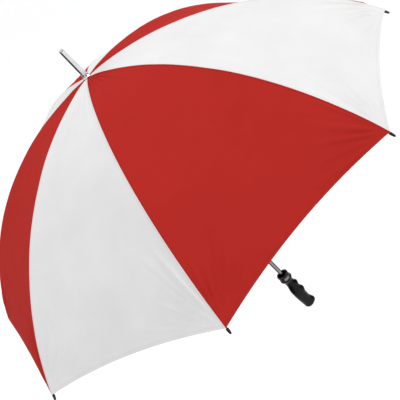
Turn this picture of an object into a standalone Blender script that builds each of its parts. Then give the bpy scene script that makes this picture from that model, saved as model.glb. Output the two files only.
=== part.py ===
"""Golf umbrella, open, with its shaft upright: crown, runner, eight folding ribs and stretchers, a canopy of
eight gores, two spring catches, a ferrule and a contoured grip.

Metres, +Z up. The origin is on the shaft's axis, where the hand holds the grip. Rib 1 stands at an azimuth of
22.5 degrees from +X, and the others follow anticlockwise every 45 degrees.
"""

import math

import bmesh
import bpy
from mathutils import Matrix, Vector

# Heights along the shaft's axis.
APEX_Z = 0.830
FERRULE_TIP_Z = 0.916
SHAFT_TOP_Z = 0.852
SHAFT_BOTTOM_Z = -0.056
GRIP_BASE_Z = -0.068
GRIP_TOP_Z = 0.0565
CUP_TOP_Z = 0.073

# Gap between pieces that touch on the real object.
GAP = 0.0003

# Shaft tube.
SHAFT_R = 0.006
SHAFT_BORE_R = 0.0052
FIT_R = SHAFT_R + GAP

# Ribs and canopy.
RIB_COUNT = 8
PITCH = 2 * math.pi / RIB_COUNT
DOME_R = 0.722
TIP_ANGLE = math.radians(58.2)
HEM_RISE = math.radians(1.5)
CANOPY_HOLE_R = 0.0095
CLOTH = 0.0006
RIB_WIDTH = 0.0024
RIB_DEPTH = 0.0034
RIB_DROP = 0.0042
RIB_DIP = 0.00523
RIB_DIP_ANGLE = math.radians(8)
RIB_STEPS = 18
EYE_R = 0.0024
EYE_HOLE_R = 0.0011
TIP_CAP_R = 0.0031
TIP_CAP_LENGTH = 0.0125
TIP_SOCKET = 0.008
TIP_GAP = 0.0012

# Crown and runner share one pivot circle, and each stretcher is as long as its pivot's distance from the crown.
PIVOT_R = 0.0135
CROWN_PIVOT_Z = APEX_Z - 0.0075
STRETCHER_ANGLE = math.radians(26)
FOLD_ANGLE = math.radians(60.0)
SLOT_WIDTH = 0.0034
WIRE_R = 0.0006

# Stretcher.
STRETCHER_DEPTH = 0.003
STRETCHER_WIDTH = 0.0024
STRETCHER_END = 0.0022
FORK_SLOT = 0.0115
FORK_WIDTH = 0.0050
FORK_HOLE_R = 0.0010
RIVET_R = 0.0007
RIVET_HEAD_R = 0.0013

# Runner.
NOTCH_R = 0.0165
NOTCH_HEIGHT = 0.010
RUNNER_TUBE_R = 0.0100
RUNNER_TUBE = 0.055
RUNNER_BORE_R = 0.0064
KEYWAY_R = 0.0093
KEYWAY_WIDTH = 0.0036
WINDOW_LOW = 0.012
WINDOW_HIGH = 0.037

# Spring catches, which lie in the front radial plane.
CATCH_AZIMUTH = -math.pi / 2
CATCH_LENGTH = 0.024
CATCH_WIDTH = 0.0020
CATCH_PIVOT_R = 0.0040
CATCH_PROUD_R = 0.0088

# Grip.
GRIP_FLANGE_R = 0.0185
GRIP_SIDES = 24
GRIP_STATIONS = 38

COLOURS = {
    "steel": ((0.62, 0.61, 0.62), 0.28, 1.0),
    "bright_steel": ((0.80, 0.80, 0.80), 0.22, 1.0),
    "black_plastic": ((0.015, 0.014, 0.015), 0.45, 0.0),
    "grip_rubber": ((0.012, 0.011, 0.012), 0.6, 0.0),
    "black_steel": ((0.03, 0.03, 0.03), 0.4, 0.6),
    "cloth": ((0.48, 0.03, 0.025), 0.75, 0.0),
}


def clear_scene():
    for obj in list(bpy.data.objects):
        bpy.data.objects.remove(obj, do_unlink=True)


def material(name, finish):
    colour, roughness, metallic = COLOURS[finish]
    made = bpy.data.materials.new(name)
    made.use_nodes = True
    shader = made.node_tree.nodes["Principled BSDF"]
    shader.inputs["Base Color"].default_value = (*colour, 1.0)
    shader.inputs["Roughness"].default_value = roughness
    shader.inputs["Metallic"].default_value = metallic
    return made


def place(name, mesh, finish=None, parent=None, location=(0, 0, 0), turn=(0, 0, 0)):
    """Link a mesh as a named object with its own material."""
    obj = bpy.data.objects.new(name, mesh)
    bpy.context.scene.collection.objects.link(obj)
    obj.parent = parent
    obj.location = location
    obj.rotation_euler = turn
    if finish and not mesh.materials:
        mesh.materials.append(material(name + "_finish", finish))
    return obj


def empty(name, location=(0, 0, 0), turn=(0, 0, 0), parent=None):
    made = bpy.data.objects.new(name, None)
    bpy.context.scene.collection.objects.link(made)
    made.parent = parent
    made.location = location
    made.rotation_euler = turn
    return made


def finish_mesh(bm, name, crease=35):
    """Close a bmesh into a mesh whose faces point out, with its round stretches shaded smooth."""
    bmesh.ops.remove_doubles(bm, verts=bm.verts, dist=1e-6)
    bmesh.ops.recalc_face_normals(bm, faces=bm.faces)
    mesh = bpy.data.meshes.new(name)
    bm.to_mesh(mesh)
    bm.free()
    mesh.shade_smooth()
    mesh.set_sharp_from_angle(angle=math.radians(crease))
    return mesh


def turned(name, profile, sides=24, closed=True):
    """Spin an outline of (radius, height) points round the Z axis."""
    bm = bmesh.new()
    points = [bm.verts.new((r, 0, z)) for r, z in profile]
    edges = [bm.edges.new(pair) for pair in zip(points, points[1:])]
    if closed:
        edges.append(bm.edges.new((points[-1], points[0])))
    bmesh.ops.spin(
        bm, geom=points + edges, cent=(0, 0, 0), axis=(0, 0, 1), angle=2 * math.pi, steps=sides
    )
    return finish_mesh(bm, name)


def plate(name, outline, width):
    """Extrude a flat outline of (x, z) points to a plate that is centred on Y."""
    bm = bmesh.new()
    face = bm.faces.new([bm.verts.new((x, -width / 2, z)) for x, z in outline])
    grown = bmesh.ops.extrude_face_region(bm, geom=[face])["geom"]
    moved = [v for v in grown if isinstance(v, bmesh.types.BMVert)]
    bmesh.ops.translate(bm, verts=moved, vec=(0, width, 0))
    return finish_mesh(bm, name)


def box_mesh(name, low, high):
    bm = bmesh.new()
    bmesh.ops.create_cube(bm, size=1)
    size = Vector(high) - Vector(low)
    bmesh.ops.scale(bm, vec=size, verts=bm.verts)
    bmesh.ops.translate(bm, vec=(Vector(low) + Vector(high)) / 2, verts=bm.verts)
    return finish_mesh(bm, name)


def rod_mesh(name, radius, length, centre, sides=8):
    """A round rod along Y."""
    bm = bmesh.new()
    bmesh.ops.create_cone(
        bm, cap_ends=True, segments=sides, radius1=radius, radius2=radius, depth=length
    )
    lie = Matrix.Translation(centre) @ Matrix.Rotation(math.pi / 2, 4, "X")
    bmesh.ops.transform(bm, matrix=lie, verts=bm.verts)
    return finish_mesh(bm, name)


def ring_of(mesh, angles, name):
    """Copies of a mesh at several azimuths, as one mesh of separate shells."""
    bm = bmesh.new()
    for angle in angles:
        before = set(bm.verts)
        bm.from_mesh(mesh)
        fresh = [v for v in bm.verts if v not in before]
        bmesh.ops.rotate(bm, verts=fresh, cent=(0, 0, 0), matrix=Matrix.Rotation(angle, 3, "Z"))
    return finish_mesh(bm, name)


def cut(mesh, cutters):
    """The mesh with each cutter's volume taken away."""
    body = place("blank", mesh)
    tools = []
    for n, cutter in enumerate(cutters):
        tool = place(f"cutter_{n}", cutter)
        tool.hide_render = True
        tool.display_type = "WIRE"
        tools.append(tool)
        step = body.modifiers.new(f"cut_{n}", "BOOLEAN")
        step.operation = "DIFFERENCE"
        step.solver = "EXACT"
        step.object = tool
    bpy.context.view_layer.update()
    seen = body.evaluated_get(bpy.context.evaluated_depsgraph_get())
    made = bpy.data.meshes.new_from_object(seen)
    made.name = mesh.name + "_cut"
    for obj in [body, *tools]:
        bpy.data.objects.remove(obj, do_unlink=True)
    made.shade_smooth()
    made.set_sharp_from_angle(angle=math.radians(35))
    return made


def rib_azimuth(n):
    return PITCH * (n + 0.5)


def dome_point(angle, below=0.0):
    """(radius, height) on the dome that the ribs hold, or a little below it."""
    r = DOME_R - below
    return r * math.sin(angle), APEX_Z - DOME_R + r * math.cos(angle)


def rib_drop(angle):
    """How far the rib's middle lies under the cloth, which grows towards the crown."""
    near = max(0.0, 1 - angle / RIB_DIP_ANGLE)
    return RIB_DROP + RIB_DIP * near * near


def stretcher_pivot():
    """(radius, height) of the rivet that joins a stretcher to its rib."""
    return dome_point(STRETCHER_ANGLE, RIB_DROP)


def runner_pivot_z():
    """The runner's pivots lie as far below the rivets as the rivets lie below the crown's pivots."""
    return 2 * stretcher_pivot()[1] - CROWN_PIVOT_Z


def stretcher_length():
    r, z = stretcher_pivot()
    return math.hypot(r - PIVOT_R, z - CROWN_PIVOT_Z)


def shut_runner_z():
    """The runner's pivot height once the ribs have turned through the whole fold."""
    r, z = stretcher_pivot()
    open_angle = math.atan2(r - PIVOT_R, CROWN_PIVOT_Z - z)
    return CROWN_PIVOT_Z - 2 * stretcher_length() * math.cos(open_angle - FOLD_ANGLE)


def lower_catch_pivot_z():
    """The lower catch's ledge stands at the lower edge of the shut runner's window."""
    return shut_runner_z() - NOTCH_HEIGHT / 2 - RUNNER_TUBE + WINDOW_LOW + 0.0005 + CATCH_LENGTH


def tip_cap_angle():
    return TIP_ANGLE + TIP_GAP / DOME_R


def make_rib_mesh():
    """A rib in its own radial plane, with its crown pivot at the origin: an eye, a neck and a curved bar."""
    end = tip_cap_angle() + TIP_SOCKET / DOME_R
    start = math.radians(1.6)
    upper, lower = [], []
    for n in range(RIB_STEPS + 1):
        angle = start + (end - start) * n / RIB_STEPS
        drop = rib_drop(angle)
        half = RIB_DEPTH / 2
        for side, points in ((half, upper), (-half, lower)):
            r, z = dome_point(angle, drop - side)
            points.append((r - PIVOT_R, z - CROWN_PIVOT_Z))
    sweep = math.radians(300)
    turn = [math.radians(30) + sweep * n / 10 for n in range(11)]
    eye = [(EYE_R * math.cos(a), EYE_R * math.sin(a)) for a in turn]
    blank = plate("rib_blank", eye + lower + upper[::-1], RIB_WIDTH)
    r, z = stretcher_pivot()
    at = (r - PIVOT_R, 0, z - CROWN_PIVOT_Z)
    holes = [
        rod_mesh("eye_hole", EYE_HOLE_R, 4 * RIB_WIDTH, (0, 0, 0)),
        rod_mesh("rivet_hole", FORK_HOLE_R, 4 * RIB_WIDTH, at),
    ]
    return cut(blank, holes)


def make_stretcher_mesh():
    """A stretcher along +X from its rivet: a fork that straddles the rib, a bar, and an end with an eye."""
    length = stretcher_length()
    fork, slim, slot = FORK_WIDTH / 2, STRETCHER_WIDTH / 2, SLOT_WIDTH / 2
    side = [
        (-STRETCHER_END, fork),
        (FORK_SLOT + 0.004, fork),
        (FORK_SLOT + 0.010, slim),
        (length + STRETCHER_END, slim),
    ]
    inner = [(-STRETCHER_END, -slot), (FORK_SLOT, -slot), (FORK_SLOT, slot), (-STRETCHER_END, slot)]
    outline = side + [(x, -y) for x, y in side[::-1]] + inner
    blank = plate("stretcher_blank", outline, STRETCHER_DEPTH)
    blank.transform(Matrix.Rotation(-math.pi / 2, 4, "X"))
    holes = [
        rod_mesh("fork_hole", FORK_HOLE_R, 4 * FORK_WIDTH, (0, 0, 0)),
        rod_mesh("end_hole", EYE_HOLE_R, 4 * FORK_WIDTH, (length, 0, 0)),
    ]
    return cut(blank, holes)


def make_rivet_mesh(shank_r, head_r, inside, outside):
    """A rivet along Z: a shank between two flat heads whose inner faces stand at inside."""
    profile = [
        (0, -outside),
        (head_r, -outside),
        (head_r, -inside),
        (shank_r, -inside),
        (shank_r, inside),
        (head_r, inside),
        (head_r, outside),
        (0, outside),
    ]
    return turned("rivet_mesh", profile, sides=8, closed=False)


def make_tip_mesh():
    """A rib's end cap along +Z: a blunt nose and a socket that the rib's end sits in."""
    r, length = TIP_CAP_R, TIP_CAP_LENGTH
    bore = 0.0024
    profile = [
        (0, TIP_SOCKET + 2 * GAP),
        (bore, TIP_SOCKET + 2 * GAP),
        (bore, 0),
        (r * 0.96, 0),
        (r, 0.001),
        (r * 0.92, length * 0.55),
        (r * 0.75, length * 0.85),
        (r * 0.35, length),
        (0, length),
    ]
    return turned("tip_mesh", profile, sides=10, closed=False)


def gore_point(angle, across):
    """A point of the cloth in the rib's own frame. across runs from -1 to 1, from one panel's middle to the
    next, and the cloth runs straight from this rib to the next one."""
    r, z = dome_point(angle)
    share = abs(across) / 2
    beside = math.copysign(PITCH, across)
    x = r * ((1 - share) + share * math.cos(beside))
    y = r * share * math.sin(beside)
    return x, y, z


def make_gore_mesh():
    """The cloth that one rib carries, from the middle of one panel to the middle of the next."""
    rows, columns = 14, 4
    start = math.asin(CANOPY_HOLE_R / DOME_R)
    bm = bmesh.new()
    grid = []
    for i in range(rows + 1):
        row = []
        for j in range(columns + 1):
            across = -1 + 2 * j / columns
            hem = TIP_ANGLE - HEM_RISE * (1 - (1 - abs(across)) ** 2)
            angle = start + (hem - start) * i / rows
            x, y, z = gore_point(angle, across)
            if abs(across) == 1:
                y -= math.copysign(GAP, across)
            row.append(bm.verts.new((x, y, z)))
        grid.append(row)
    for above, under in zip(grid, grid[1:]):
        for j in range(columns):
            bm.faces.new((above[j], above[j + 1], under[j + 1], under[j]))
    return finish_mesh(bm, "gore_mesh", crease=80)


def make_crown():
    """The notched crown on the shaft: a hub, and a disc whose rim is grooved for the wire and slotted."""
    low, high = CROWN_PIVOT_Z - 0.004, CROWN_PIVOT_Z + 0.004
    hub_r, disc_r, groove_r = 0.0095, 0.0155, 0.0121
    profile = [
        (FIT_R, low - 0.0105),
        (hub_r, low - 0.0105),
        (hub_r, low),
        (disc_r, low),
        (disc_r, CROWN_PIVOT_Z - 0.001),
        (groove_r, CROWN_PIVOT_Z - 0.001),
        (groove_r, CROWN_PIVOT_Z + 0.001),
        (disc_r, CROWN_PIVOT_Z + 0.001),
        (disc_r, high),
        (FIT_R, high),
    ]
    half = SLOT_WIDTH / 2
    slot = box_mesh("slot", (0.0098, -half, low - 0.001), (0.018, half, high + 0.001))
    slots = ring_of(slot, [rib_azimuth(n) for n in range(RIB_COUNT)], "slots")
    pin = rod_mesh("pin_hole", RIVET_R + 2 * GAP, 0.03, (0, 0, 0))
    pin.transform(Matrix.Translation((0, 0, low - 0.006)) @ Matrix.Rotation(math.pi / 2, 4, "Z"))
    place("crown", cut(turned("crown_blank", profile, sides=32), [slots, pin]), "black_plastic")


def make_crown_wire():
    bm = bmesh.new()
    start = [
        bm.verts.new((PIVOT_R + WIRE_R * math.cos(a), 0, WIRE_R * math.sin(a)))
        for a in (math.pi / 3 * n for n in range(6))
    ]
    loop = [bm.edges.new((start[n], start[(n + 1) % 6])) for n in range(6)]
    bmesh.ops.spin(
        bm, geom=start + loop, cent=(0, 0, 0), axis=(0, 0, 1), angle=2 * math.pi, steps=32
    )
    place("crown_wire", finish_mesh(bm, "wire_mesh"), "steel", location=(0, 0, CROWN_PIVOT_Z))


def make_crown_rivet():
    mesh = make_rivet_mesh(RIVET_R + GAP, 0.0018, 0.0098, 0.0106)
    at = (0, 0, CROWN_PIVOT_Z - 0.010)
    place("crown_rivet", mesh, "steel", location=at, turn=(0, math.pi / 2, 0))


def catch_slot(pivot_z, way):
    """The slot in the shaft that a catch comes out of, in the catch's radial plane along +X."""
    half = CATCH_WIDTH / 2 + GAP
    ends = sorted((pivot_z + way * 0.0025, pivot_z + way * (CATCH_LENGTH + 0.0018)))
    return box_mesh("catch_slot", (0.002, -half, ends[0]), (0.009, half, ends[1]))


def upper_catch_pivot_z():
    """The upper catch's ledge stands just under the open runner."""
    return runner_pivot_z() - NOTCH_HEIGHT / 2 - RUNNER_TUBE - 0.0005 - CATCH_LENGTH


def make_shaft():
    profile = [
        (SHAFT_BORE_R, SHAFT_BOTTOM_Z),
        (SHAFT_R, SHAFT_BOTTOM_Z),
        (SHAFT_R, SHAFT_TOP_Z),
        (SHAFT_BORE_R, SHAFT_TOP_Z),
    ]
    blank = turned("shaft_blank", profile)
    turn = Matrix.Rotation(CATCH_AZIMUTH, 4, "Z")
    cutters = [catch_slot(upper_catch_pivot_z(), 1), catch_slot(lower_catch_pivot_z(), -1)]
    for cutter in cutters:
        cutter.transform(turn)
    crown_hole = rod_mesh("crown_hole", RIVET_R + 2 * GAP, 0.03, (0, 0, 0))
    across = Matrix.Rotation(math.pi / 2, 4, "Z")
    crown_hole.transform(Matrix.Translation((0, 0, CROWN_PIVOT_Z - 0.010)) @ across)
    grip_hole = rod_mesh("grip_hole", 0.0015, 0.03, (0, 0, -0.030))
    place("shaft", cut(blank, [*cutters, crown_hole, grip_hole]), "steel")


def make_ferrule():
    """The spike on top of the shaft: a slight taper with a blunt round end, bored to take the shaft's end."""
    base, tip = APEX_Z + 0.0050, FERRULE_TIP_Z
    profile = [
        (0, SHAFT_TOP_Z + 0.003),
        (FIT_R, SHAFT_TOP_Z + GAP),
        (FIT_R, base),
        (0.0076, base),
        (0.0079, base + 0.003),
        (0.0074, base + 0.006),
        (0.0062, tip - 0.005),
        (0.0057, tip - 0.0020),
        (0.0040, tip - 0.0005),
        (0, tip),
    ]
    place("ferrule", turned("ferrule_mesh", profile, closed=False), "bright_steel")


def make_top_cap():
    """The cap that clamps the cloth round the shaft, under the ferrule."""
    low, high = APEX_Z + 0.0008, APEX_Z + 0.0047
    profile = [(FIT_R, low), (0.0105, low), (0.0105, low + 0.0012), (0.0086, high), (FIT_R, high)]
    place("top_cap", turned("top_cap_mesh", profile), "bright_steel")


def make_rosette():
    """The disc of cloth that keeps the crown from rubbing the canopy."""
    low = CROWN_PIVOT_Z + 0.0047
    profile = [(FIT_R, low), (0.030, low - 0.0004), (0.030, low + 0.0004), (FIT_R, low + 0.0008)]
    place("rosette", turned("rosette_mesh", profile), "cloth")


def make_runner(parent):
    """The runner about its pivot circle: a slotted notch over a bored tube, with a keyway for the catches."""
    half, bottom = NOTCH_HEIGHT / 2, -NOTCH_HEIGHT / 2 - RUNNER_TUBE
    profile = [
        (RUNNER_BORE_R, bottom),
        (RUNNER_TUBE_R - 0.0006, bottom),
        (RUNNER_TUBE_R, bottom + 0.0012),
        (RUNNER_TUBE_R, -half),
        (NOTCH_R, -half),
        (NOTCH_R, half),
        (RUNNER_BORE_R, half),
    ]
    side = SLOT_WIDTH / 2
    slot = box_mesh("slot", (0.0104, -side, -half - 0.001), (0.019, side, half + 0.001))
    slots = ring_of(slot, [rib_azimuth(n) for n in range(RIB_COUNT)], "slots")
    wide = KEYWAY_WIDTH / 2
    keyway = box_mesh("keyway", (0, -wide, bottom - 0.001), (KEYWAY_R, wide, half + 0.001))
    window = box_mesh("window", (0.004, -wide, bottom + WINDOW_LOW), (0.012, wide, bottom + WINDOW_HIGH))
    turn = Matrix.Rotation(CATCH_AZIMUTH, 4, "Z")
    keyway.transform(turn)
    window.transform(turn)
    mesh = cut(turned("runner_blank", profile, sides=32), [slots, keyway, window])
    place("runner", mesh, "black_plastic", parent)


def make_catch(name, pivot_z, way):
    """A spring catch in the shaft. Its ledge is at the far end from its pivot, and way says which end is up."""
    inner, root = -0.0010, 0.0006
    proud = CATCH_PROUD_R - CATCH_PIVOT_R
    outline = [
        (inner, -0.001),
        (root, -0.001),
        (root, 0.004),
        (proud, CATCH_LENGTH - 0.003),
        (proud, CATCH_LENGTH),
        (inner, CATCH_LENGTH),
    ]
    mesh = plate(name + "_mesh", [(x, way * z) for x, z in outline], CATCH_WIDTH)
    axis = empty(name + "_axis", turn=(0, 0, CATCH_AZIMUTH), location=(0, -CATCH_PIVOT_R, pivot_z))
    place(name, mesh, "steel", axis)


def ridge(z, centre, half_width, height):
    """A smooth swelling of the grip's outline."""
    away = (z - centre) / half_width
    if abs(away) >= 1:
        return 0.0
    return height * math.cos(away * math.pi / 2) ** 2


def ease(low, high, z):
    """0 below low, 1 above high, and a smooth rise between them."""
    share = min(1.0, max(0.0, (z - low) / (high - low)))
    return share * share * (3 - 2 * share)


def grip_reach(z):
    """How far the grip reaches towards the fingers (+X), the palm (-X) and the sides at a height."""
    fingers = 0.0150 - 0.0016 * ease(0.012, 0.038, z)
    for centre, half_width, height in ((0.025, 0.0125, 0.0042), (-0.005, 0.016, 0.0046)):
        fingers += ridge(z, centre, half_width, height)
    fingers += ridge(z, -0.060, 0.024, 0.0058)
    palm = 0.0183 - 0.0051 * ease(0.004, 0.034, z) - 0.0030 * (1 - ease(-0.064, -0.012, z))
    sides = 0.0132 + ridge(z, -0.006, 0.056, 0.0030)
    flange = ridge(z, GRIP_TOP_Z - 0.0015, 0.0125, 1.0)
    end = max(0.0, (GRIP_BASE_Z + 0.009 - z) / 0.009)
    rounding = math.sqrt(1 - (0.8 * end) ** 2)
    shape = []
    for reach in (fingers, palm, sides):
        shape.append((reach + (GRIP_FLANGE_R - reach) * flange) * rounding)
    return shape


def make_grip():
    """The contoured grip, bored from the top for the shaft, with a hole for its pin."""
    bm = bmesh.new()
    loops = []
    for n in range(GRIP_STATIONS + 1):
        z = GRIP_BASE_Z + (GRIP_TOP_Z - GRIP_BASE_Z) * n / GRIP_STATIONS
        fingers, palm, sides = grip_reach(z)
        loop = []
        for k in range(GRIP_SIDES):
            a = 2 * math.pi * k / GRIP_SIDES
            reach = fingers if math.cos(a) > 0 else palm
            loop.append(bm.verts.new((reach * math.cos(a), sides * math.sin(a), z)))
        loops.append([bm.edges.new((loop[k - 1], loop[k])) for k in range(GRIP_SIDES)])
    for low, high in zip(loops, loops[1:]):
        bmesh.ops.bridge_loops(bm, edges=low + high)
    bmesh.ops.contextual_create(bm, geom=loops[0])
    bmesh.ops.contextual_create(bm, geom=loops[-1])
    blank = finish_mesh(bm, "grip_blank")
    bore = rod_mesh("bore", FIT_R, 0.2, (0, 0, 0), sides=24)
    lift = SHAFT_BOTTOM_Z - GAP + 0.1
    bore.transform(Matrix.Translation((0, 0, lift)) @ Matrix.Rotation(math.pi / 2, 4, "X"))
    pin = rod_mesh("pin", 0.0015, 0.0190, (0, 0, -0.030))
    place("grip", cut(blank, [bore, pin]), "grip_rubber")


def make_grip_fittings():
    """The cup that the rib tips stand in when the umbrella is shut, its metal collar, and the grip's pin."""
    floor = GRIP_TOP_Z + GAP
    cup = [
        (FIT_R, floor),
        (0.0150, floor),
        (0.0150, CUP_TOP_Z - 0.0062),
        (0.0168, CUP_TOP_Z - 0.0050),
        (0.0170, CUP_TOP_Z - 0.0010),
        (0.0162, CUP_TOP_Z),
        (0.0138, CUP_TOP_Z),
        (0.0138, floor + 0.003),
        (FIT_R, floor + 0.003),
    ]
    place("tip_cup", turned("tip_cup_mesh", cup), "black_plastic")
    ring_r = 0.0150 + GAP
    collar = [
        (ring_r, floor),
        (0.0170, floor),
        (0.0174, floor + 0.0010),
        (0.0162, floor + 0.0075),
        (0.0158, floor + 0.0084),
        (ring_r, floor + 0.0084),
    ]
    place("cup_collar", turned("cup_collar_mesh", collar), "steel")
    pin = rod_mesh("grip_pin_mesh", 0.0012, 0.0180, (0, 0, 0))
    place("grip_pin", pin, "steel", location=(0, 0, -0.030))


def make_rib_sets():
    """Eight ribs with their tips, rivets, stretchers and cloth, each hung from its crown pivot."""
    rib, stretcher, gore, tip = (
        make_rib_mesh(),
        make_stretcher_mesh(),
        make_gore_mesh(),
        make_tip_mesh(),
    )
    rivet = make_rivet_mesh(RIVET_R, RIVET_HEAD_R, FORK_WIDTH / 2 + GAP, FORK_WIDTH / 2 + 0.0009)
    for mesh, finish in (
        (rib, "black_steel"),
        (stretcher, "black_steel"),
        (gore, "cloth"),
        (tip, "black_plastic"),
        (rivet, "steel"),
    ):
        mesh.materials.clear()
        mesh.materials.append(material(mesh.name + "_finish", finish))
    r, z = stretcher_pivot()
    rivet_at = (r - PIVOT_R, 0, z - CROWN_PIVOT_Z)
    lean = math.atan2(r - PIVOT_R, CROWN_PIVOT_Z - z)
    cap = tip_cap_angle()
    cap_r, cap_z = dome_point(cap, RIB_DROP)
    cap_at = (cap_r - PIVOT_R, 0, cap_z - CROWN_PIVOT_Z)
    for n in range(RIB_COUNT):
        azimuth = rib_azimuth(n)
        at = (PIVOT_R * math.cos(azimuth), PIVOT_R * math.sin(azimuth), CROWN_PIVOT_Z)
        axis = empty(f"rib_{n + 1}_axis", location=at, turn=(0, 0, azimuth))
        place(f"rib_{n + 1}", rib, parent=axis)
        place(f"rib_tip_{n + 1}", tip, parent=axis, location=cap_at, turn=(0, cap + math.pi / 2, 0))
        place(
            f"stretcher_rivet_{n + 1}",
            rivet,
            parent=axis,
            location=rivet_at,
            turn=(math.pi / 2, 0, 0),
        )
        joint = empty(f"stretcher_{n + 1}_axis", location=rivet_at, parent=axis)
        place(f"stretcher_{n + 1}", stretcher, parent=joint, turn=(0, lean + math.pi / 2, 0))
        cloth = place(
            f"canopy_gore_{n + 1}", gore, parent=axis, location=(-PIVOT_R, 0, -CROWN_PIVOT_Z)
        )
        thick = cloth.modifiers.new("thickness", "SOLIDIFY")
        thick.thickness = CLOTH
        thick.offset = 0


def main():
    clear_scene()
    make_shaft()
    make_crown()
    make_crown_wire()
    make_crown_rivet()
    make_ferrule()
    make_top_cap()
    make_rosette()
    runner_axis = empty("runner_axis", location=(0, 0, runner_pivot_z()))
    make_runner(runner_axis)
    make_catch("upper_catch", upper_catch_pivot_z(), 1)
    make_catch("lower_catch", lower_catch_pivot_z(), -1)
    make_grip()
    make_grip_fittings()
    make_rib_sets()
    bpy.context.view_layer.update()


main()
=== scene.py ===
"""The golf umbrella's look: cloth canopy, finishes, floor, light and camera.

Metres, +Z up, in the CAD model's frame. The origin is on the shaft's axis at the middle of the grip.
"""

import math
import random

import bpy
from mathutils import Matrix, Vector, noise


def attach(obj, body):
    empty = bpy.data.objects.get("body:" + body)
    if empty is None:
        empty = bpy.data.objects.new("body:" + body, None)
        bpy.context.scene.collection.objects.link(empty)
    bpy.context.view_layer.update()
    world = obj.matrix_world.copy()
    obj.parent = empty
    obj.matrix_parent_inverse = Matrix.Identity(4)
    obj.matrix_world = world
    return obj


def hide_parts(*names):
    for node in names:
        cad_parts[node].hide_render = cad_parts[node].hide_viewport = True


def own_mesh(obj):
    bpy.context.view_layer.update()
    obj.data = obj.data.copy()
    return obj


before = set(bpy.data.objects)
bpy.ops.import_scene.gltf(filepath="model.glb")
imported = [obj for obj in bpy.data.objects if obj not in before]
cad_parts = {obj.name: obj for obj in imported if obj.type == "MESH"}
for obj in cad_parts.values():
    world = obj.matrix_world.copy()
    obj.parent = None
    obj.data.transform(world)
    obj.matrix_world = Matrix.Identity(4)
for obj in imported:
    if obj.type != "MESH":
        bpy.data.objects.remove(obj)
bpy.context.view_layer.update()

# Canopy, as it is built.
APEX_Z = 0.830
DOME_R = 0.722
RIB_COUNT = 8
PITCH = 2 * math.pi / RIB_COUNT
TIP_ANGLE = math.radians(58.2)
HEM_RISE = math.radians(1.5)
CANOPY_HOLE_R = 0.0095
HOLE_ANGLE = math.asin(CANOPY_HOLE_R / DOME_R)
CROWN_PIVOT_Z = APEX_Z - 0.0075

# The gores' mesh. SEAM_STEPS are the columns nearest the rib. CROWDING draws the other columns towards them,
# and the rows towards the hem.
ROWS = 112
SEAM_STEPS = (0.0, 0.0014, 0.0030, 0.0040)
COLUMNS = 44
CROWDING = 1.35
JOIN_STEP = len(SEAM_STEPS) + COLUMNS - 1

# Folds out of the panels' corners.
CORNER_FOLDS = 6
FOLD_HEIGHT = 0.0042
FOLD_REACH = 0.26

# Looser shapes in the cloth.
RIPPLE_HEIGHT = 0.0003
RIPPLE_LENGTH = 0.022
RIPPLE_REACH = 0.030
GATHER_HEIGHT = 0.0012
GATHER_ANGLE = math.radians(9)
SAG = 0.0035
UNEVENNESS = ((0.0009, 9), (0.0004, 26))

# Seams and hem. HEM_TURN is how far each row of the turned edge is back from the fold, and under the cloth.
# The turned edge has no stitches, so its distance from the hem is given as PLAIN_CLOTH more than it is.
SEAM_HEIGHT = 0.0005
SEAM_STITCH_AT = 0.0024
HEM_DEPTH = 0.009
HEM_HEIGHT = 0.0002
HEM_STITCH_AT = 0.0068
HEM_TURN = ((0.0, 0.0009), (0.004, 0.0012), (HEM_DEPTH, 0.0012))
PLAIN_CLOTH = 0.03
THREAD_PITCH = 0.0006
STITCH_PITCH = 0.0035

# Rosette.
ROSETTE_HOLE_R = 0.0066
ROSETTE_R = 0.0298
ROSETTE_Z = CROWN_PIVOT_Z + 0.0051
ROSETTE_RINGS = 4
ROSETTE_SIDES = 96
PINKING = 0.0007

# Stage and camera.
FLOOR_Z = -1.35
FLOOR_HALF = 80
FLAG_DISTANCE = 1.7
CAMERA_AT = (-0.280, -1.647, 1.230)
CAMERA_FORWARD = (0.1422, 0.8859, -0.4415)
CAMERA_UP = (0.7468, 0.1967, 0.6353)
CAMERA_LENS = 66.3

# Colours, in linear light.
RED = (0.450, 0.0245, 0.0190)
WHITE = (0.785, 0.778, 0.772)


def smooth(low, high, x):
    """0 up to low, 1 from high on, and a soft step between them."""
    t = min(1.0, max(0.0, (x - low) / (high - low)))
    return t * t * (3 - 2 * t)


def shade(colour, share):
    return tuple(c * share for c in colour)


def add_object(name, data):
    made = bpy.data.objects.new(name, data)
    bpy.context.scene.collection.objects.link(made)
    return made


# ---------------------------------------------------------------- node helpers


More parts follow.
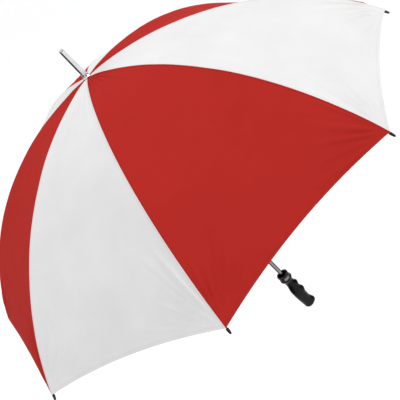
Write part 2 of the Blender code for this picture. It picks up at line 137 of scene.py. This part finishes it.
class Nodes:
    """A material's node tree, built by short calls."""

    def __init__(self, name):
        self.material = bpy.data.materials.new(name)
        self.material.use_nodes = True
        self.tree = self.material.node_tree
        self.shader = self.tree.nodes["Principled BSDF"]

    def add(self, kind, inputs=None, **settings):
        node = self.tree.nodes.new(kind)
        for key, value in settings.items():
            setattr(node, key, value)
        for key, value in (inputs or {}).items():
            self.feed(node.inputs[key], value)
        return node

    def feed(self, socket, value):
        if isinstance(value, bpy.types.NodeSocket):
            self.tree.links.new(value, socket)
        else:
            socket.default_value = value

    def maths(self, operation, a, b=0.0):
        node = self.add("ShaderNodeMath", operation=operation)
        self.feed(node.inputs[0], a)
        self.feed(node.inputs[1], b)
        return node.outputs[0]

    def wave(self, run, pitch):
        return self.maths("SINE", self.maths("MULTIPLY", run, 2 * math.pi / pitch))

    def ramp(self, value, low, high, to_low=0.0, to_high=1.0):
        inputs = {"Value": value, "From Min": low, "From Max": high, "To Min": to_low, "To Max": to_high}
        return self.add("ShaderNodeMapRange", inputs).outputs[0]

    def mix(self, share, a, b):
        node = self.add("ShaderNodeMix", data_type="RGBA")
        self.feed(node.inputs["Factor"], share)
        for socket, value in ((node.inputs["A"], a), (node.inputs["B"], b)):
            self.feed(socket, value if isinstance(value, bpy.types.NodeSocket) else (*value, 1))
        return node.outputs["Result"]

    def split(self, vector):
        return self.add("ShaderNodeSeparateXYZ", {"Vector": vector}).outputs

    def place(self, kind="Object", scale=(1, 1, 1)):
        at = self.add("ShaderNodeTexCoord").outputs[kind]
        return self.add("ShaderNodeMapping", {"Vector": at, "Scale": scale}).outputs[0]

    def noise(self, at, scale, detail=2.0, roughness=0.5):
        inputs = {"Vector": at, "Scale": scale, "Detail": detail, "Roughness": roughness}
        return self.add("ShaderNodeTexNoise", inputs).outputs["Fac"]

    def bump(self, height, distance, strength, normal=None):
        inputs = {"Height": height, "Distance": distance, "Strength": strength}
        if normal is not None:
            inputs["Normal"] = normal
        return self.add("ShaderNodeBump", inputs).outputs[0]

    def finish(self, **inputs):
        for key, value in inputs.items():
            self.feed(self.shader.inputs[key.replace("_", " ")], value)
        return self.material


def stitches(look, distance, line, run):
    """A row of stitches where distance equals line: 1 on the thread and 0 between stitches."""
    off = look.maths("ABSOLUTE", look.maths("SUBTRACT", distance, line))
    on_line = look.ramp(off, 0.0003, 0.0006, 1, 0)
    return look.maths("MULTIPLY", on_line, look.ramp(look.wave(run, STITCH_PITCH), -0.5, 0.0))


def cloth(name, colour):
    """Woven polyester: fine threads, soft creases, a lockstitch along each rib seam and along the hem."""
    look = Nodes(name)
    at = look.place()
    across, along = look.split(look.place("UV"))[:2]
    from_rib, from_hem = look.split(look.add("ShaderNodeUVMap", uv_map="Edges").outputs[0])[:2]

    weave = look.maths("MULTIPLY", look.wave(across, THREAD_PITCH), look.wave(along, THREAD_PITCH))
    seam_stitches = stitches(look, from_rib, SEAM_STITCH_AT, along)
    hem_stitches = stitches(look, from_hem, HEM_STITCH_AT, across)
    thread = look.maths("MAXIMUM", seam_stitches, hem_stitches)

    mottle = look.noise(at, 9.0, 4.0, 0.6)
    fine = look.noise(at, 900.0, 1.0)
    body = look.mix(look.ramp(mottle, 0.32, 0.68), shade(colour, 0.97), shade(colour, 1.03))
    body = look.mix(look.ramp(fine, 0.3, 0.7, 0.0, 0.10), body, shade(colour, 0.8))
    # Painted shade: the cloth is darkened in a narrow band along each rib seam and, more faintly, along the
    # hem.
    seam_painted_shade = look.ramp(from_rib, 0.0030, 0.0052, 0.10, 0.0)
    hem_painted_shade = look.ramp(from_hem, 0.0080, 0.0100, 0.02, 0.0)
    body = look.mix(look.maths("MAXIMUM", seam_painted_shade, hem_painted_shade), body, shade(colour, 0.62))
    body = look.mix(look.maths("MULTIPLY", thread, 0.30), body, shade(colour, 0.55))

    creases = look.noise(look.place("Object", (1.0, 1.0, 1.4)), 24.0, 5.0, 0.62)
    lift = look.bump(creases, 0.0009, 0.25)
    lift = look.bump(weave, 0.00008, 0.30, lift)
    lift = look.bump(thread, 0.0003, 0.6, lift)
    return look.finish(
        Base_Color=body,
        Roughness=look.ramp(look.noise(at, 30.0, 3.0), 0.3, 0.7, 0.74, 0.86),
        Normal=lift,
        Specular_IOR_Level=0.02,
    )


def metal(name, colour, rough, streak=(1.0, 1.0, 0.02), wear=0.12):
    """Plated or satin metal, with fine drawn lines and light handling marks."""
    look = Nodes(name)
    lines = look.noise(look.place("Object", streak), 2400.0, 3.0, 0.6)
    marks = look.noise(look.place(), 60.0, 5.0, 0.65)
    drawn = look.ramp(lines, 0.2, 0.8, -0.05, 0.07)
    handled = look.ramp(marks, 0.3, 0.7, rough - 0.04, rough + 0.06)
    return look.finish(
        Base_Color=look.mix(look.ramp(marks, 0.35, 0.75), colour, shade(colour, 1 - wear)),
        Metallic=1.0,
        Roughness=look.maths("ADD", drawn, handled),
        Normal=look.bump(lines, 0.00003, 0.35),
    )


def moulded(name, colour, rough, spec, grain=1500.0, depth=0.00006):
    """Moulded plastic or rubber, with a fine grain, faint flow marks and dust in it."""
    look = Nodes(name)
    fine = look.noise(look.place(), grain, 2.0)
    flow = look.noise(look.place("Object", (1, 1, 0.5)), 45.0, 4.0, 0.6)
    dusty = tuple(c * 1.6 + 0.004 for c in colour)
    return look.finish(
        Base_Color=look.mix(look.ramp(flow, 0.35, 0.75), colour, dusty),
        Roughness=look.ramp(flow, 0.3, 0.7, rough - 0.06, rough + 0.07),
        Normal=look.bump(fine, depth, 0.5),
        Specular_IOR_Level=spec,
    )


def enamel(name, colour, rough):
    """Black enamel or pultruded glass fibre, with lengthwise lines and small scuffs."""
    look = Nodes(name)
    lines = look.noise(look.place("Object", (0.06, 1, 1)), 1300.0, 2.0)
    scuff = look.noise(look.place(), 130.0, 6.0, 0.7)
    return look.finish(
        Base_Color=look.mix(look.ramp(scuff, 0.60, 0.78), colour, (0.09, 0.09, 0.09)),
        Roughness=look.ramp(scuff, 0.3, 0.8, rough, rough + 0.15),
        Normal=look.bump(lines, 0.00005, 0.3),
        Coat_Weight=0.3,
        Coat_Roughness=0.15,
    )


# ---------------------------------------------------------------- canopy
#
# A place on panel k, which is between ribs k and k + 1, is given by t and angle. t runs from -1 at rib k to 1
# at rib k + 1. angle is measured at the centre of the ribs' arcs, from the shaft's axis.


def rib_azimuth(n):
    return PITCH * (n + 0.5)


def radial(azimuth):
    return Vector((math.cos(azimuth), math.sin(azimuth), 0))


def hem_angle(t):
    """The hem is highest in the middle of a panel, and comes down to the rib tips."""
    return TIP_ANGLE - HEM_RISE * (1 - t * t)


def corner_folds():
    """The folds in every panel corner: direction from the hem, start, length and share of full height."""
    dice = random.Random(4)
    return {
        (panel, side): [
            (
                math.radians(84 - 13 * n + dice.uniform(-5, 5)),
                dice.uniform(0.012, 0.050),
                dice.uniform(0.09, 0.20),
                dice.uniform(0.45, 1.0) * (1 - 0.09 * n),
            )
            for n in range(CORNER_FOLDS)
        ]
        for panel in range(RIB_COUNT)
        for side in (-1, 1)
    }


FOLDS = corner_folds()


def fan(panel, side, beside, up):
    """Narrow folds that fan out of a rib tip, where the cloth is pulled tightest.

    They widen as they go, and each has a dip on both sides.
    """
    reach = math.hypot(beside, up)
    if reach > FOLD_REACH:
        return 0.0
    turn = math.atan2(up, beside)
    lift = 0.0
    for direction, start, length, share in FOLDS[panel, side]:
        width = 0.0035 + 0.034 * reach
        off = (reach * math.sin(turn - direction) / width) ** 2
        if off < 9:
            rise = smooth(start, start + 0.03, reach)
            fall = smooth(start + 0.4 * length, start + length, reach)
            lift += share * (rise * (1 - fall)) * (1 - 1.2 * off) * math.exp(-off)
    return FOLD_HEIGHT * lift


def corner_lift(panel, t, angle, r):
    """The folds out of both rib tips of a panel, which end at the seams."""
    half = r * math.sin(PITCH / 2)
    up = DOME_R * (TIP_ANGLE - angle)
    lift = 0.0
    for side in (-1, 1):
        beside = (1 - side * t) * half
        lift += fan(panel, side, beside, up) * smooth(0.003, 0.010, beside)
    return lift


def hem_ripples(panel, t, angle):
    from_hem = DOME_R * (hem_angle(t) - angle)
    rows = math.sin(from_hem * 2 * math.pi / RIPPLE_LENGTH + 1.3 * panel + 2.0 * t)
    return RIPPLE_HEIGHT * rows * math.exp(-from_hem / RIPPLE_REACH) * (1 - t * t)


def crown_gather(panel, t, angle, r):
    near = math.exp(-((angle / GATHER_ANGLE) ** 2)) * smooth(0.012, 0.05, r)
    return GATHER_HEIGHT * near * math.sin(5.5 * math.pi * t + panel)


def slackness(t, angle, r):
    """The cloth sags a little between the ribs, most in the middle of a panel."""
    sag = -SAG * (1 - t * t) * math.sin(math.pi * min(1.0, angle / TIP_ANGLE)) ** 2
    return sag * smooth(0.01, 0.06, r)


def crease(k, t, angle):
    """How far the cloth of panel k stands off its taut shape."""
    panel = k % RIB_COUNT
    r = DOME_R * math.sin(angle)
    lift = corner_lift(panel, t, angle, r)
    lift += hem_ripples(panel, t, angle)
    lift += crown_gather(panel, t, angle, r)
    return lift + slackness(t, angle, r)


def taut(k, t, angle):
    """The cloth runs straight from rib k to rib k + 1, and both are arcs centred on the shaft's axis."""
    share = (t + 1) / 2
    flat = radial(rib_azimuth(k)) * (1 - share) + radial(rib_azimuth(k + 1)) * share
    r = DOME_R * math.sin(angle)
    return Vector((flat.x * r, flat.y * r, APEX_Z - DOME_R + DOME_R * math.cos(angle)))


def outward(k, t, angle, step=1e-4):
    across = taut(k, t + step, angle) - taut(k, t - step, angle)
    down = taut(k, t, angle + step) - taut(k, t, angle - step)
    return down.cross(across).normalized()


def surface(k, t, angle):
    """A point of panel k, with its creases and the slight unevenness of stretched cloth."""
    at = taut(k, t, angle)
    settle = smooth(0.012, 0.08, math.hypot(at.x, at.y))
    uneven = sum(height * noise.noise(at * scale) for height, scale in UNEVENNESS)
    return at + outward(k, t, angle) * (crease(k, t, angle) + uneven * settle)


def surface_normal(k, t, angle, step=2e-3):
    across = surface(k, min(1, t + 0.01), angle) - surface(k, max(-1, t - 0.01), angle)
    down = surface(k, t, angle + step) - surface(k, t, angle - step)
    return down.cross(across).normalized()


def columns_of(half):
    """Distances from the rib to the middle of a panel, closest at the seam."""
    squeeze = min(1.0, 0.35 * half / SEAM_STEPS[-1])
    near = [d * squeeze for d in SEAM_STEPS]
    rest = half - near[-1]
    return near + [near[-1] + rest * ((n + 1) / COLUMNS) ** CROWDING for n in range(COLUMNS)]


def gore_rows():
    """Each row's share of the way from the crown to the hem, and how far it is turned back and under."""
    rows = [(1 - (1 - n / ROWS) ** CROWDING, 0.0, 0.0) for n in range(ROWS + 1)]
    return rows + [(1.0, back, under) for back, under in HEM_TURN]


def thickening(away, from_hem, angle):
    """How far the doubled cloth of a seam or the hem stands up. The seam's fades out at the crown."""
    below_crown = smooth(0.012, 0.03, DOME_R * math.sin(angle))
    seam = SEAM_HEIGHT * below_crown * (1 - smooth(0.0030, 0.0042, away))
    return max(seam, HEM_HEIGHT * (1 - smooth(0.0078, 0.0092, from_hem)))


def gore_point(n, side, step, share, back, under):
    """A point of the gore on rib n.

    It returns the place, the distances from rib and hem, the UV, and the normal at a join.
    """
    k, rib_t = (n, -1) if side > 0 else (n - 1, 1)
    half = DOME_R * math.sin(HOLE_ANGLE + (TIP_ANGLE - HOLE_ANGLE) * share) * math.sin(PITCH / 2)
    away = columns_of(half)[step]
    t = rib_t + side * away / half
    angle = HOLE_ANGLE + (hem_angle(t) - HOLE_ANGLE) * share - back / DOME_R
    from_hem = DOME_R * (hem_angle(t) - angle)
    at = surface(k, t, angle)
    stand = thickening(away, from_hem, angle) - under
    if stand:
        at += surface_normal(k, t, angle) * stand
    normal = None
    if step == JOIN_STEP:
        normal = surface_normal(k, t, angle) * (-1 if under else 1)
    edges = (away, from_hem + (PLAIN_CLOTH if under else 0.0))
    return at, edges, (side * away, DOME_R * (angle - HOLE_ANGLE)), normal


def make_gore(n, materials):
    """The cloth on one rib, from the middle of one panel to the middle of the next, with a turned hem."""
    rows = gore_rows()
    width = 2 * JOIN_STEP + 1
    made = [
        gore_point(n, -1 if j < JOIN_STEP else 1, abs(j - JOIN_STEP), *row)
        for row in rows
        for j in range(width)
    ]
    points, edges, uvs, normals = zip(*made)
    corners = [i * width + j for i in range(len(rows) - 1) for j in range(width - 1)]
    mesh = bpy.data.meshes.new(f"canopy_{n + 1}")
    mesh.from_pydata(points, [], [(a, a + width, a + width + 1, a + 1) for a in corners])
    layer = mesh.uv_layers.new(name="Cloth")
    edge_layer = mesh.uv_layers.new(name="Edges")
    for loop in mesh.loops:
        layer.data[loop.index].uv = uvs[loop.vertex_index]
        edge_layer.data[loop.index].uv = edges[loop.vertex_index]
    for k in (n - 1, n):
        mesh.materials.append(materials[k % 2])
    for face, corner in zip(mesh.polygons, corners):
        face.material_index = 0 if corner % width < JOIN_STEP else 1
        face.use_smooth = True
    # Neighbouring gores have the same normals where they join, so the join doesn't show.
    mesh.normals_split_custom_set_from_vertices(
        [tuple(v.normal if normal is None else normal) for normal, v in zip(normals, mesh.vertices)]
    )
    return add_object(f"canopy_panel_pair_{n + 1}", mesh)


def make_canopy():
    materials = (cloth("cloth_white", WHITE), cloth("cloth_red", RED))
    for n in range(RIB_COUNT):
        gore = make_gore(n, materials)
        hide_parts(f"canopy_gore_{n + 1}")
        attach(gore, f"rib_body_{n + 1}")
        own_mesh(gore)


def rosette_point(ring, j):
    """A point of the rosette, which droops a little, waves between the ribs and has a pinked edge."""
    azimuth = 2 * math.pi * j / ROSETTE_SIDES
    share = ring / ROSETTE_RINGS
    r = ROSETTE_HOLE_R + (ROSETTE_R - PINKING - ROSETTE_HOLE_R) * share
    if ring == ROSETTE_RINGS:
        r += PINKING * (1 if j % 2 else -1)
    wave = 0.00025 * share * math.sin(RIB_COUNT * azimuth)
    return (r * math.cos(azimuth), r * math.sin(azimuth), ROSETTE_Z - 0.0004 * share + wave)


def make_rosette():
    """The small disc of cloth over the crown."""
    sides = ROSETTE_SIDES
    points = [rosette_point(ring, j) for ring in range(ROSETTE_RINGS + 1) for j in range(sides)]
    faces = []
    for i in range(ROSETTE_RINGS):
        for j in range(sides):
            a, b = i * sides + j, i * sides + (j + 1) % sides
            faces.append((a, a + sides, b + sides, b))
    mesh = bpy.data.meshes.new("rosette_cloth")
    mesh.from_pydata(points, [], faces)
    mesh.shade_smooth()
    layer = mesh.uv_layers.new(name="Cloth")
    edge_layer = mesh.uv_layers.new(name="Edges")
    for loop in mesh.loops:
        layer.data[loop.index].uv = points[loop.vertex_index][:2]
        edge_layer.data[loop.index].uv = (0.05, 0.05)
    made = add_object("rosette_disc", mesh)
    mesh.materials.append(cloth("cloth_rosette", WHITE))
    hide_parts("rosette")
    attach(made, "frame")


# ---------------------------------------------------------------- finishes


def finish_nodes():
    """Give its material to every CAD node that isn't replaced."""
    shaft = metal("shaft_plate", (0.30, 0.278, 0.284), 0.20)
    bright = metal("bright_plate", (0.80, 0.80, 0.81), 0.15, wear=0.06)
    fitting = metal("fitting_metal_look", (0.27, 0.25, 0.25), 0.30, streak=(0.04, 0.04, 1.0))
    plastic = moulded("black_plastic_look", (0.009, 0.009, 0.009), 0.36, 0.25)
    rubber = moulded("grip_rubber_look", (0.0028, 0.0023, 0.0026), 0.27, 0.17, grain=1100.0, depth=0.0001)
    tips = moulded("rib_tip_look", (0.010, 0.010, 0.010), 0.34, 0.3)
    fibre = enamel("rib_look", (0.012, 0.012, 0.013), 0.28)
    painted = enamel("stretcher_look", (0.016, 0.016, 0.017), 0.33)
    looks = {
        "shaft": shaft,
        "ferrule": bright,
        "top_cap": bright,
        "crown": plastic,
        "crown_wire": fitting,
        "crown_rivet": fitting,
        "runner": plastic,
        "upper_catch": fitting,
        "lower_catch": fitting,
        "grip": rubber,
        "grip_pin": fitting,
        "tip_cup": plastic,
        "cup_collar": fitting,
    }
    for n in range(1, RIB_COUNT + 1):
        looks[f"rib_{n}"] = fibre
        looks[f"rib_tip_{n}"] = tips
        looks[f"stretcher_{n}"] = painted
        looks[f"stretcher_rivet_{n}"] = fitting
    for node, look in looks.items():
        for place in bpy.data.objects[node].material_slots:
            place.material = look


# ---------------------------------------------------------------- stage, light, camera


def card(name, corners, look):
    """A flat piece of the stage, with four corners."""
    mesh = bpy.data.meshes.new(name)
    mesh.from_pydata(corners, [], [(0, 1, 2, 3)])
    mesh.materials.append(look)
    made = add_object(name, mesh)
    return made


def make_floor():
    nodes = Nodes("floor_look")
    mottle = nodes.noise(nodes.place(), 1.5, 3.0)
    look = nodes.finish(
        Base_Color=nodes.mix(mottle, (0.88, 0.88, 0.88), (0.90, 0.90, 0.90)),
        Roughness=0.9,
        Emission_Color=(1, 1, 1, 1),
        Emission_Strength=0.18,
    )
    signs = ((-1, -1), (1, -1), (1, 1), (-1, 1))
    card("floor", [(x * FLOOR_HALF, y * FLOOR_HALF, FLOOR_Z) for x, y in signs], look)


def area_light(name, at, aim, size, power):
    data = bpy.data.lights.new(name, "AREA")
    data.shape = "DISK"
    data.size = size
    data.energy = power
    lamp = add_object(name, data)
    lamp.visible_camera = False
    lamp.location = at
    lamp.rotation_euler = (Vector(aim) - Vector(at)).to_track_quat("-Z", "Y").to_euler()


def make_flag(name, azimuth, width, low, high):
    """A black card beside the set. It is seen only in reflections, as the dark edges on the metal."""
    out = radial(azimuth) * FLAG_DISTANCE
    side = Vector((-math.sin(azimuth), math.cos(azimuth), 0)) * width / 2
    left, right = out - side, out + side
    corners = [(left, low), (right, low), (right, high), (left, high)]
    look = Nodes(name + "_look").finish(Base_Color=(0.01, 0.01, 0.01, 1), Roughness=1.0)
    flag = card(name, [(place.x, place.y, z) for place, z in corners], look)
    flag.visible_camera = False
    flag.visible_diffuse = False
    flag.visible_shadow = False


def make_light():
    area_light("key", (3.2, -1.4, 3.4), (0, 0, 0.6), 1.6, 52)
    area_light("fill", (-3.4, -2.0, 2.2), (0, 0, 0.5), 3.0, 5)
    area_light("rim", (-0.6, 3.2, 3.0), (0, 0, 0.7), 2.0, 16)
    make_flag("flag_left", math.radians(176), 3.8, -1.3, 1.1)
    make_flag("flag_right", math.radians(-5), 2.6, -1.3, -0.1)


def make_world():
    """A pale studio, grey at the horizon and below it, and white overhead."""
    world = bpy.data.worlds.new("studio")
    world.use_nodes = True
    tree = world.node_tree
    background = tree.nodes["Background"]
    at = tree.nodes.new("ShaderNodeTexCoord")
    split = tree.nodes.new("ShaderNodeSeparateXYZ")
    ramp = tree.nodes.new("ShaderNodeValToRGB")
    tree.links.new(at.outputs["Generated"], split.inputs[0])
    tree.links.new(split.outputs[2], ramp.inputs[0])
    tree.links.new(ramp.outputs[0], background.inputs["Color"])
    horizon, overhead = ramp.color_ramp.elements
    horizon.position = 0.02
    horizon.color = (0.42, 0.42, 0.43, 1)
    overhead.position = 0.45
    overhead.color = (0.95, 0.95, 0.96, 1)
    background.inputs["Strength"].default_value = 1.0
    bpy.context.scene.world = world


def make_camera():
    data = bpy.data.cameras.new("camera")
    data.lens = CAMERA_LENS
    data.sensor_width = 36
    data.clip_end = 300
    camera = add_object("camera", data)
    forward = Vector(CAMERA_FORWARD).normalized()
    up = Vector(CAMERA_UP)
    up = (up - forward * up.dot(forward)).normalized()
    right = forward.cross(up)
    turn = Matrix((right, up, -forward)).transposed().to_4x4()
    camera.matrix_world = Matrix.Translation(CAMERA_AT) @ turn
    bpy.context.scene.camera = camera


make_canopy()
make_rosette()
finish_nodes()
make_floor()
make_light()
make_world()
make_camera()
bpy.context.scene.view_settings.view_transform = "Standard"
